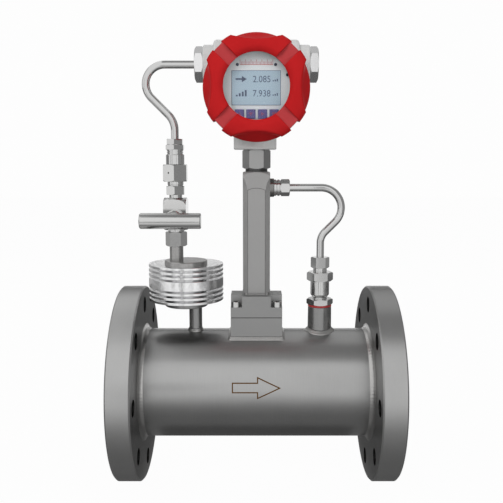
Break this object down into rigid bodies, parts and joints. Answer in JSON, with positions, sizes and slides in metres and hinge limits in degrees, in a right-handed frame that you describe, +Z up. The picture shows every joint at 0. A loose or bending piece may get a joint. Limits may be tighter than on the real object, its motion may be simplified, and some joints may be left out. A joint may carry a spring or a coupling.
{
  "type": "vortex flow meter",
  "caption": "Flanged vortex flow meter with a round display head on a square stem, a finned pressure tapping with a T-handle valve, and a temperature probe.",
  "frame": {"origin": "centre of the inlet flange's raised face, on the pipe axis", "axes": "+X along the pipe in the flow direction, +Z up to the display head, -Y the side that the display faces"},
  "size_m": [0.31, 0.22, 0.494],
  "materials": {
    "pipe_steel": "satin, machined",
    "weld_steel": "rough weld",
    "satin_steel": "satin",
    "polished_steel": "polished",
    "fin_aluminium": "bright turned",
    "cover_red": "gloss red paint",
    "housing_grey": "textured light grey paint",
    "seal_black": "matt black",
    "gasket_red": "matt red",
    "window_glass": "clear",
    "ring_black": "matt black",
    "dial_grey": "printed, satin",
    "display_blue": "gloss",
    "button_violet": "gloss",
    "board_green": "lacquered"
  },
  "bodies": {
    "meter": {"meter_tube": "pipe_steel", "inlet_flange": "pipe_steel", "outlet_flange": "pipe_steel", "flange_welds": "weld_steel", "bluff_body": "pipe_steel", "sensor_block": "satin_steel", "sensor_block_weld": "weld_steel", "sensor_gasket": "seal_black", "clamp_block": "satin_steel", "clamp_screws": "polished_steel", "sensor_probe": "polished_steel", "stem_column": "satin_steel", "neck_nut": "satin_steel", "head_housing": "housing_grey", "front_cover_seal": "seal_black", "dial_plate": "dial_grey", "display": "display_blue", "panel_screws": "polished_steel", "electronics_board": "board_green", "terminal_block": "ring_black", "entry_gland": "polished_steel", "entry_plug": "polished_steel", "pressure_conduit": "polished_steel", "pressure_conduit_nut": "polished_steel", "conduit_adapter": "polished_steel", "pressure_sensor_body": "polished_steel", "sensor_collar": "polished_steel", "valve_outlet_nut": "polished_steel", "valve_body": "polished_steel", "valve_bonnet": "polished_steel", "valve_packing_nut": "polished_steel", "valve_inlet_nut": "polished_steel", "cooler_outlet_tube": "polished_steel", "cooler_lid": "polished_steel", "cooler_fins": "fin_aluminium", "cooler_chamber": "polished_steel", "tap_tube": "polished_steel", "tap_weld": "weld_steel", "side_nipple": "satin_steel", "side_conduit_nut": "polished_steel", "temperature_conduit": "polished_steel", "temperature_conduit_nut": "polished_steel", "temperature_fitting": "polished_steel", "thermowell_plug": "polished_steel", "thermowell_gasket": "gasket_red", "temperature_boss": "satin_steel", "temperature_boss_weld": "weld_steel", "temperature_probe": "polished_steel"},
    "valve_needle": {"valve_needle": "polished_steel"},
    "valve_spindle": {"valve_spindle": "polished_steel", "valve_handle": "polished_steel"},
    "front_window": {"window_glass": "window_glass", "window_ring": "ring_black"},
    "front_cover": {"front_cover": "cover_red"},
    "rear_seal": {"rear_cover_seal": "seal_black"},
    "rear_cover": {"rear_cover": "cover_red"},
    "button_1": {"button_1": "button_violet"},
    "button_2": {"button_2": "button_violet"},
    "button_3": {"button_3": "button_violet"},
    "button_4": {"button_4": "button_violet"}
  },
  "joints": [
    {"name": "needle_lift", "type": "slide", "parent": "meter", "child": "valve_needle", "axis": [0, -1, 0], "range_m": [0, 0.006]},
    {"name": "spindle_turn", "type": "hinge", "parent": "valve_needle", "child": "valve_spindle", "pos_m": [0.065, 0, 0.189], "axis": [0, -1, 0], "range_deg": [0, 1440]},
    {"name": "front_cover_travel", "type": "slide", "parent": "meter", "child": "front_window", "axis": [0, -1, 0], "range_m": [0, 0.0075]},
    {"name": "front_cover_turn", "type": "hinge", "parent": "front_window", "child": "front_cover", "pos_m": [0.155, 0, 0.328], "axis": [0, -1, 0], "range_deg": [0, 1800]},
    {"name": "rear_cover_travel", "type": "slide", "parent": "meter", "child": "rear_seal", "axis": [0, 1, 0], "range_m": [0, 0.0075]},
    {"name": "rear_cover_turn", "type": "hinge", "parent": "rear_seal", "child": "rear_cover", "pos_m": [0.155, 0, 0.328], "axis": [0, 1, 0], "range_deg": [0, 1800]},
    {"name": "button_1_press", "type": "slide", "parent": "meter", "child": "button_1", "axis": [0, 1, 0], "range_m": [0, 0.001], "stiffness_N_per_m": 400},
    {"name": "button_2_press", "type": "slide", "parent": "meter", "child": "button_2", "axis": [0, 1, 0], "range_m": [0, 0.001], "stiffness_N_per_m": 400},
    {"name": "button_3_press", "type": "slide", "parent": "meter", "child": "button_3", "axis": [0, 1, 0], "range_m": [0, 0.001], "stiffness_N_per_m": 400},
    {"name": "button_4_press", "type": "slide", "parent": "meter", "child": "button_4", "axis": [0, 1, 0], "range_m": [0, 0.001], "stiffness_N_per_m": 400}
  ],
  "couplings": [
    {"joint": "spindle_turn", "follows": "needle_lift", "rad_per_m": 4188.8},
    {"joint": "front_cover_turn", "follows": "front_cover_travel", "rad_per_m": 4188.8},
    {"joint": "rear_cover_turn", "follows": "rear_cover_travel", "rad_per_m": 4188.8}
  ]
}
